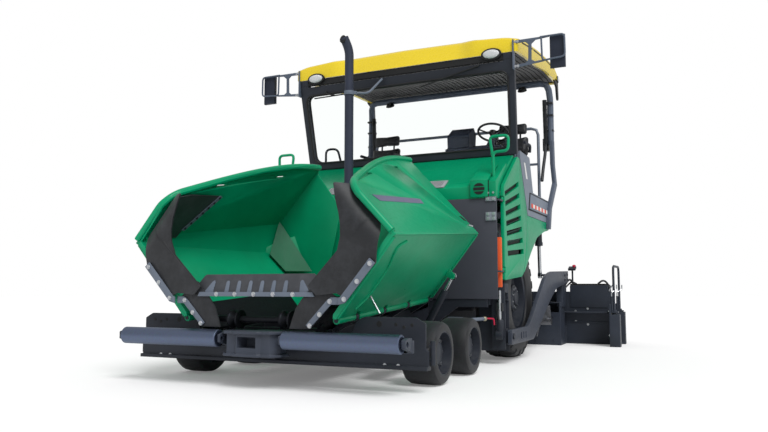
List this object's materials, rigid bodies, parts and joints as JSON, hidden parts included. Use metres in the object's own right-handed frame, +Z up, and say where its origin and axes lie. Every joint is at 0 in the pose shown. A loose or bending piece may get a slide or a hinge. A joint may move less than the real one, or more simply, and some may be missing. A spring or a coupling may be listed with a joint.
{
  "type": "wheeled asphalt paver",
  "caption": "Self-propelled road paver: folding front hopper with push rollers, conveyor tunnel, engine bay, roofed operator platform and a towed extending screed.",
  "frame": {"origin": "on the ground, under the centre of the whole machine's bounding box", "axes": "+Z up, -Y is the travel direction (hopper end), +X is the machine's left-hand side"},
  "size_m": [4.04, 6.29, 3.68],
  "materials": {
    "paint_green": "gloss",
    "paint_dark_grey": "semi-gloss",
    "paint_light_grey": "semi-gloss",
    "worn_steel": "worn",
    "flap_rubber": "matt",
    "tyre_rubber": "matt",
    "seat_black": "satin",
    "roof_yellow": "gloss",
    "windscreen": "clear",
    "chrome_rod": "polished"
  },
  "bodies": {
    "tractor": {"chassis_frame": "paint_dark_grey", "front_crossbeam": "paint_dark_grey", "bulkhead": "paint_dark_grey", "engine_block": "paint_dark_grey", "operator_console": "paint_dark_grey", "windscreen_frame": "paint_dark_grey", "mirror_left": "paint_dark_grey", "mirror_right": "paint_dark_grey", "roof_rear_frame": "paint_dark_grey", "exhaust_pipe": "paint_dark_grey", "bogie_left": "paint_dark_grey", "bogie_right": "paint_dark_grey", "conveyor": "worn_steel", "hopper_floor": "paint_green", "hood": "paint_green", "side_skirt_left": "paint_green", "side_skirt_right": "paint_green", "front_apron": "flap_rubber", "operator_platform": "paint_light_grey", "seat_left": "seat_black", "seat_right": "seat_black", "windscreen_glass": "windscreen", "roof": "roof_yellow"},
    "push_bar": {"push_roller_bar": "paint_dark_grey"},
    "screed": {"screed_arm_left": "paint_dark_grey", "screed_arm_right": "paint_dark_grey", "screed_body": "paint_dark_grey"},
    "steering_wheel": {"steering_wheel": "seat_black"},
    "push_roller_left": {"push_roller_left": "paint_light_grey"},
    "wing_left": {"hopper_wing_left": "paint_green", "upper_flap_left": "flap_rubber"},
    "wing_cylinder_left": {"wing_cylinder_left": "paint_dark_grey"},
    "wing_rod_left": {"wing_rod_left": "chrome_rod"},
    "side_door_left": {"side_door_left": "paint_green"},
    "drive_wheel_left": {"rear_tyre_left": "tyre_rubber", "rear_rim_left": "paint_dark_grey"},
    "knuckle_front_left": {"knuckle_front_left": "paint_dark_grey"},
    "front_wheel_front_left": {"front_wheel_front_left": "tyre_rubber"},
    "knuckle_rear_left": {"knuckle_rear_left": "paint_dark_grey"},
    "front_wheel_rear_left": {"front_wheel_rear_left": "tyre_rubber"},
    "extension_left": {"screed_extension_left": "paint_dark_grey"},
    "lift_cylinder_left": {"lift_cylinder_left": "paint_dark_grey"},
    "lift_rod_left": {"lift_rod_left": "chrome_rod"},
    "auger_left": {"auger_left": "worn_steel"},
    "push_roller_right": {"push_roller_right": "paint_light_grey"},
    "wing_right": {"hopper_wing_right": "paint_green", "upper_flap_right": "flap_rubber"},
    "wing_cylinder_right": {"wing_cylinder_right": "paint_dark_grey"},
    "wing_rod_right": {"wing_rod_right": "chrome_rod"},
    "side_door_right": {"side_door_right": "paint_green"},
    "drive_wheel_right": {"rear_tyre_right": "tyre_rubber", "rear_rim_right": "paint_dark_grey"},
    "knuckle_front_right": {"knuckle_front_right": "paint_dark_grey"},
    "front_wheel_front_right": {"front_wheel_front_right": "tyre_rubber"},
    "knuckle_rear_right": {"knuckle_rear_right": "paint_dark_grey"},
    "front_wheel_rear_right": {"front_wheel_rear_right": "tyre_rubber"},
    "extension_right": {"screed_extension_right": "paint_dark_grey"},
    "lift_cylinder_right": {"lift_cylinder_right": "paint_dark_grey"},
    "lift_rod_right": {"lift_rod_right": "chrome_rod"},
    "auger_right": {"auger_right": "worn_steel"}
  },
  "joints": [
    {"name": "push_bar_pivot", "type": "hinge", "parent": "tractor", "child": "push_bar", "pos_m": [0, -2.853, 0.35], "axis": [0, 0, 1], "range_deg": [-5, 5]},
    {"name": "steering_wheel_turn", "type": "hinge", "parent": "tractor", "child": "steering_wheel", "pos_m": [0.88, 0.397, 2.54], "axis": [0, 0.4229, 0.9062], "continuous": true},
    {"name": "screed_lift", "type": "hinge", "parent": "tractor", "child": "screed", "pos_m": [0, -0.575, 0.275], "axis": [1, 0, 0], "range_deg": [0, 9]},
    {"name": "push_roller_left_spin", "type": "hinge", "parent": "push_bar", "child": "push_roller_left", "pos_m": [0.76, -3.063, 0.366], "axis": [1, 0, 0], "continuous": true},
    {"name": "wing_left_fold", "type": "hinge", "parent": "tractor", "child": "wing_left", "pos_m": [0.676, -2.05543, 0.57592], "axis": [0, -0.9974, -0.0715], "range_deg": [-36, 17]},
    {"name": "wing_cylinder_left_swing", "type": "hinge", "parent": "tractor", "child": "wing_cylinder_left", "pos_m": [0.626, -1.14697, 0.3503], "axis": [0, -0.9974, -0.0715], "range_deg": [-20, 10]},
    {"name": "wing_rod_left_slide", "type": "slide", "parent": "wing_cylinder_left", "child": "wing_rod_left", "axis": [0.5118, -0.0614, 0.8569], "range_m": [-0.085, 0.04]},
    {"name": "side_door_left_open", "type": "hinge", "parent": "tractor", "child": "side_door_left", "pos_m": [1.262, -0.656, 1.3], "axis": [0, 0, -1], "range_deg": [0, 80]},
    {"name": "drive_wheel_left_spin", "type": "hinge", "parent": "tractor", "child": "drive_wheel_left", "pos_m": [1.06, 0.147, 0.64], "axis": [1, 0, 0], "continuous": true},
    {"name": "steer_front_left", "type": "hinge", "parent": "tractor", "child": "knuckle_front_left", "pos_m": [0.9, -2.263, 0.245], "axis": [0, 0, 1], "range_deg": [-25, 25]},
    {"name": "front_wheel_front_left_spin", "type": "hinge", "parent": "knuckle_front_left", "child": "front_wheel_front_left", "pos_m": [1.097, -2.263, 0.245], "axis": [1, 0, 0], "continuous": true},
    {"name": "steer_rear_left", "type": "hinge", "parent": "tractor", "child": "knuckle_rear_left", "pos_m": [0.9, -1.511, 0.245], "axis": [0, 0, 1], "range_deg": [-18, 18]},
    {"name": "front_wheel_rear_left_spin", "type": "hinge", "parent": "knuckle_rear_left", "child": "front_wheel_rear_left", "pos_m": [1.097, -1.511, 0.245], "axis": [1, 0, 0], "continuous": true},
    {"name": "screed_extension_left_slide", "type": "slide", "parent": "screed", "child": "extension_left", "axis": [1, 0, 0], "range_m": [-0.53, 0.6]},
    {"name": "lift_cylinder_left_swing", "type": "hinge", "parent": "tractor", "child": "lift_cylinder_left", "pos_m": [1.19, 1.227, 1.7], "axis": [1, 0, 0], "range_deg": [-10.5, 0.5]},
    {"name": "lift_rod_left_slide", "type": "slide", "parent": "lift_cylinder_left", "child": "lift_rod_left", "axis": [0, 0.0628, -0.998], "range_m": [-0.285, 0.005]},
    {"name": "auger_left_spin", "type": "hinge", "parent": "tractor", "child": "auger_left", "pos_m": [0.6, 1.707, 0.33], "axis": [1, 0, 0], "continuous": true},
    {"name": "push_roller_right_spin", "type": "hinge", "parent": "push_bar", "child": "push_roller_right", "pos_m": [-0.76, -3.063, 0.366], "axis": [1, 0, 0], "continuous": true},
    {"name": "wing_right_fold", "type": "hinge", "parent": "tractor", "child": "wing_right", "pos_m": [-0.676, -2.05543, 0.57592], "axis": [0, 0.9974, 0.0715], "range_deg": [-36, 17]},
    {"name": "wing_cylinder_right_swing", "type": "hinge", "parent": "tractor", "child": "wing_cylinder_right", "pos_m": [-0.626, -1.14697, 0.3503], "axis": [0, 0.9974, 0.0715], "range_deg": [-20, 10]},
    {"name": "wing_rod_right_slide", "type": "slide", "parent": "wing_cylinder_right", "child": "wing_rod_right", "axis": [-0.5118, -0.0614, 0.8569], "range_m": [-0.085, 0.04]},
    {"name": "side_door_right_open", "type": "hinge", "parent": "tractor", "child": "side_door_right", "pos_m": [-1.262, -0.656, 1.3], "axis": [0, 0, 1], "range_deg": [0, 80]},
    {"name": "drive_wheel_right_spin", "type": "hinge", "parent": "tractor", "child": "drive_wheel_right", "pos_m": [-1.06, 0.147, 0.64], "axis": [1, 0, 0], "continuous": true},
    {"name": "steer_front_right", "type": "hinge", "parent": "tractor", "child": "knuckle_front_right", "pos_m": [-0.9, -2.263, 0.245], "axis": [0, 0, 1], "range_deg": [-25, 25]},
    {"name": "front_wheel_front_right_spin", "type": "hinge", "parent": "knuckle_front_right", "child": "front_wheel_front_right", "pos_m": [-1.097, -2.263, 0.245], "axis": [1, 0, 0], "continuous": true},
    {"name": "steer_rear_right", "type": "hinge", "parent": "tractor", "child": "knuckle_rear_right", "pos_m": [-0.9, -1.511, 0.245], "axis": [0, 0, 1], "range_deg": [-18, 18]},
    {"name": "front_wheel_rear_right_spin", "type": "hinge", "parent": "knuckle_rear_right", "child": "front_wheel_rear_right", "pos_m": [-1.097, -1.511, 0.245], "axis": [1, 0, 0], "continuous": true},
    {"name": "screed_extension_right_slide", "type": "slide", "parent": "screed", "child": "extension_right", "axis": [-1, 0, 0], "range_m": [-0.53, 0.6]},
    {"name": "lift_cylinder_right_swing", "type": "hinge", "parent": "tractor", "child": "lift_cylinder_right", "pos_m": [-1.19, 1.227, 1.7], "axis": [1, 0, 0], "range_deg": [-10.5, 0.5]},
    {"name": "lift_rod_right_slide", "type": "slide", "parent": "lift_cylinder_right", "child": "lift_rod_right", "axis": [0, 0.0628, -0.998], "range_m": [-0.285, 0.005]},
    {"name": "auger_right_spin", "type": "hinge", "parent": "tractor", "child": "auger_right", "pos_m": [-0.6, 1.707, 0.33], "axis": [1, 0, 0], "continuous": true}
  ],
  "couplings": [
    {"joint": "wing_cylinder_left_swing", "follows": "wing_left_fold", "ratio": 0.53969},
    {"joint": "wing_rod_left_slide", "follows": "wing_left_fold", "m_per_rad": 0.12771},
    {"joint": "steer_rear_left", "follows": "steer_front_left", "ratio": 0.7},
    {"joint": "lift_cylinder_left_swing", "follows": "screed_lift", "ratio": -1.1265},
    {"joint": "lift_rod_left_slide", "follows": "screed_lift", "m_per_rad": -1.7943},
    {"joint": "wing_cylinder_right_swing", "follows": "wing_right_fold", "ratio": 0.53969},
    {"joint": "wing_rod_right_slide", "follows": "wing_right_fold", "m_per_rad": 0.12771},
    {"joint": "steer_front_right", "follows": "steer_front_left", "ratio": 1},
    {"joint": "steer_rear_right", "follows": "steer_front_left", "ratio": 0.7},
    {"joint": "lift_cylinder_right_swing", "follows": "screed_lift", "ratio": -1.1265},
    {"joint": "lift_rod_right_slide", "follows": "screed_lift", "m_per_rad": -1.7943}
  ]
}
